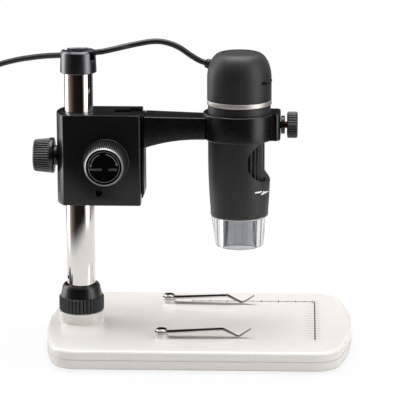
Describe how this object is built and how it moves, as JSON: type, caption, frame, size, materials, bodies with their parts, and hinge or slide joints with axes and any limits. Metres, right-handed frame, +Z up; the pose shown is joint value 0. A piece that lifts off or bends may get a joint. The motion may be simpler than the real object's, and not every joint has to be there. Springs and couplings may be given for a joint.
{
  "type": "usb digital microscope with focusing stand",
  "caption": "Handheld USB microscope in a ring on an arm that focuses by rack and pinion and slides and swivels on a pole above a flat stage with clips; its lead runs over the pole to a coil.",
  "frame": {"origin": "middle of the footprint of the stand and its clamp knob, on the table", "axes": "+X along the base from the pole towards the stage, +Y away from the front knob, +Z up the pole"},
  "size_m": [0.2916, 0.121, 0.1745],
  "materials": {
    "off_white": "glossy moulding",
    "rubber": "matte",
    "soft_grey": "soft touch",
    "satin_black": "satin",
    "gloss_black": "glossy",
    "chrome": "polished",
    "steel": "plain",
    "satin_silver": "satin",
    "brass": "plain",
    "clear_plastic": "clear",
    "glass": "polished",
    "green_board": "solder mask",
    "white_plastic": "plain"
  },
  "bodies": {
    "stand": {"base_cover": "off_white", "base_tray": "off_white", "ballast_plate": "steel", "rubber_foot_1": "rubber", "rubber_foot_2": "rubber", "rubber_foot_3": "rubber", "rubber_foot_4": "rubber", "base_screw_1": "steel", "base_screw_2": "steel", "base_screw_3": "steel", "base_screw_4": "steel", "pole_tube": "chrome", "pole_cap": "satin_black", "clip_stud_rear": "chrome", "clip_stud_front": "chrome", "lead_drop": "rubber", "lead_coil": "rubber", "lead_tail": "rubber", "plug_body": "rubber", "plug_shell": "steel"},
    "collar": {"lock_collar": "gloss_black"},
    "clip_rear": {"stage_clip_rear": "chrome"},
    "clip_front": {"stage_clip_front": "chrome"},
    "carriage": {"pole_bush": "satin_black"},
    "block": {"focus_block": "satin_black", "set_screw": "steel"},
    "clamp": {"clamp_knob": "satin_black", "clamp_screw": "steel", "clamp_pad": "white_plastic"},
    "pinion": {"pinion_shaft": "steel", "pinion_gear": "brass", "focus_knob": "satin_black", "focus_knob_disc": "gloss_black"},
    "lock": {"lock_knob": "satin_black", "lock_knob_disc": "gloss_black"},
    "arm": {"dovetail_slide": "gloss_black", "gear_rack": "brass", "ring_arm": "gloss_black", "ring_washer": "satin_black"},
    "ring_thumb": {"ring_screw": "brass", "ring_screw_tip": "white_plastic", "ring_knob": "satin_black"},
    "scope_band": {"trim_ring": "satin_silver"},
    "scope": {"scope_dome": "soft_grey", "strain_relief": "rubber", "switch_board": "green_board", "wheel_spindle": "white_plastic", "scope_barrel": "soft_grey", "lens_tube": "gloss_black", "front_lens": "glass", "sensor_board": "green_board", "light_board": "white_plastic", "nose_cone": "clear_plastic", "lead_arch": "rubber"},
    "button": {"snapshot_button": "soft_grey"},
    "dimmer": {"dimmer_wheel": "rubber"},
    "roller": {"focus_roller": "rubber"}
  },
  "joints": [
    {"name": "collar_turn", "type": "hinge", "parent": "stand", "child": "collar", "pos_m": [-0.06315, 0, 0.026], "axis": [0, 0, 1], "range_deg": [-90, 0]},
    {"name": "clip_rear_turn", "type": "hinge", "parent": "stand", "child": "clip_rear", "pos_m": [-0.01565, 0.0378, 0.015], "axis": [0, 0, 1], "range_deg": [-35, 75]},
    {"name": "clip_front_turn", "type": "hinge", "parent": "stand", "child": "clip_front", "pos_m": [-0.01565, -0.0331, 0.015], "axis": [0, 0, 1], "range_deg": [-75, 35]},
    {"name": "carriage_slide", "type": "slide", "parent": "stand", "child": "carriage", "axis": [0, 0, 1], "range_m": [-0.02, 0.02]},
    {"name": "carriage_swivel", "type": "hinge", "parent": "carriage", "child": "block", "pos_m": [-0.06315, 0, 0.1079], "axis": [0, 0, 1], "range_deg": [-90, 90]},
    {"name": "clamp_turn", "type": "hinge", "parent": "block", "child": "clamp", "pos_m": [-0.07515, 0, 0.1079], "axis": [1, 0, 0], "range_deg": [0, 180]},
    {"name": "focus_slide", "type": "slide", "parent": "block", "child": "arm", "axis": [0, 0, 1], "range_m": [-0.016, 0.016]},
    {"name": "pinion_turn", "type": "hinge", "parent": "block", "child": "pinion", "pos_m": [-0.04695, 0, 0.1079], "axis": [0, 1, 0], "range_deg": [-190, 190]},
    {"name": "lock_turn", "type": "hinge", "parent": "block", "child": "lock", "pos_m": [-0.04695, -0.02, 0.1079], "axis": [0, 1, 0], "range_deg": [-90, 0]},
    {"name": "ring_thumb_turn", "type": "hinge", "parent": "arm", "child": "ring_thumb", "pos_m": [0.05185, 0, 0.12615], "axis": [1, 0, 0], "range_deg": [-180, 0]},
    {"name": "scope_slide", "type": "slide", "parent": "arm", "child": "scope_band", "axis": [0, 0, 1], "range_m": [-0.003, 0.01]},
    {"name": "scope_turn", "type": "hinge", "parent": "scope_band", "child": "scope", "pos_m": [0.02645, 0, 0.107], "axis": [0, 0, 1], "range_deg": [-45, 45]},
    {"name": "button_press", "type": "slide", "parent": "scope", "child": "button", "axis": [0, 0, 1], "range_m": [-0.0008, 0], "stiffness_N_per_m": 400, "springref_m": 0.001},
    {"name": "dimmer_turn", "type": "hinge", "parent": "scope", "child": "dimmer", "pos_m": [0.03571, -0.00163, 0.1516], "axis": [0, 0, 1], "range_deg": [-135, 135]},
    {"name": "roller_turn", "type": "hinge", "parent": "scope", "child": "roller", "pos_m": [0.02645, 0, 0.107], "axis": [0, 0, 1], "range_deg": [-170, 170]}
  ],
  "couplings": [
    {"joint": "pinion_turn", "follows": "focus_slide", "rad_per_m": -204.08}
  ]
}
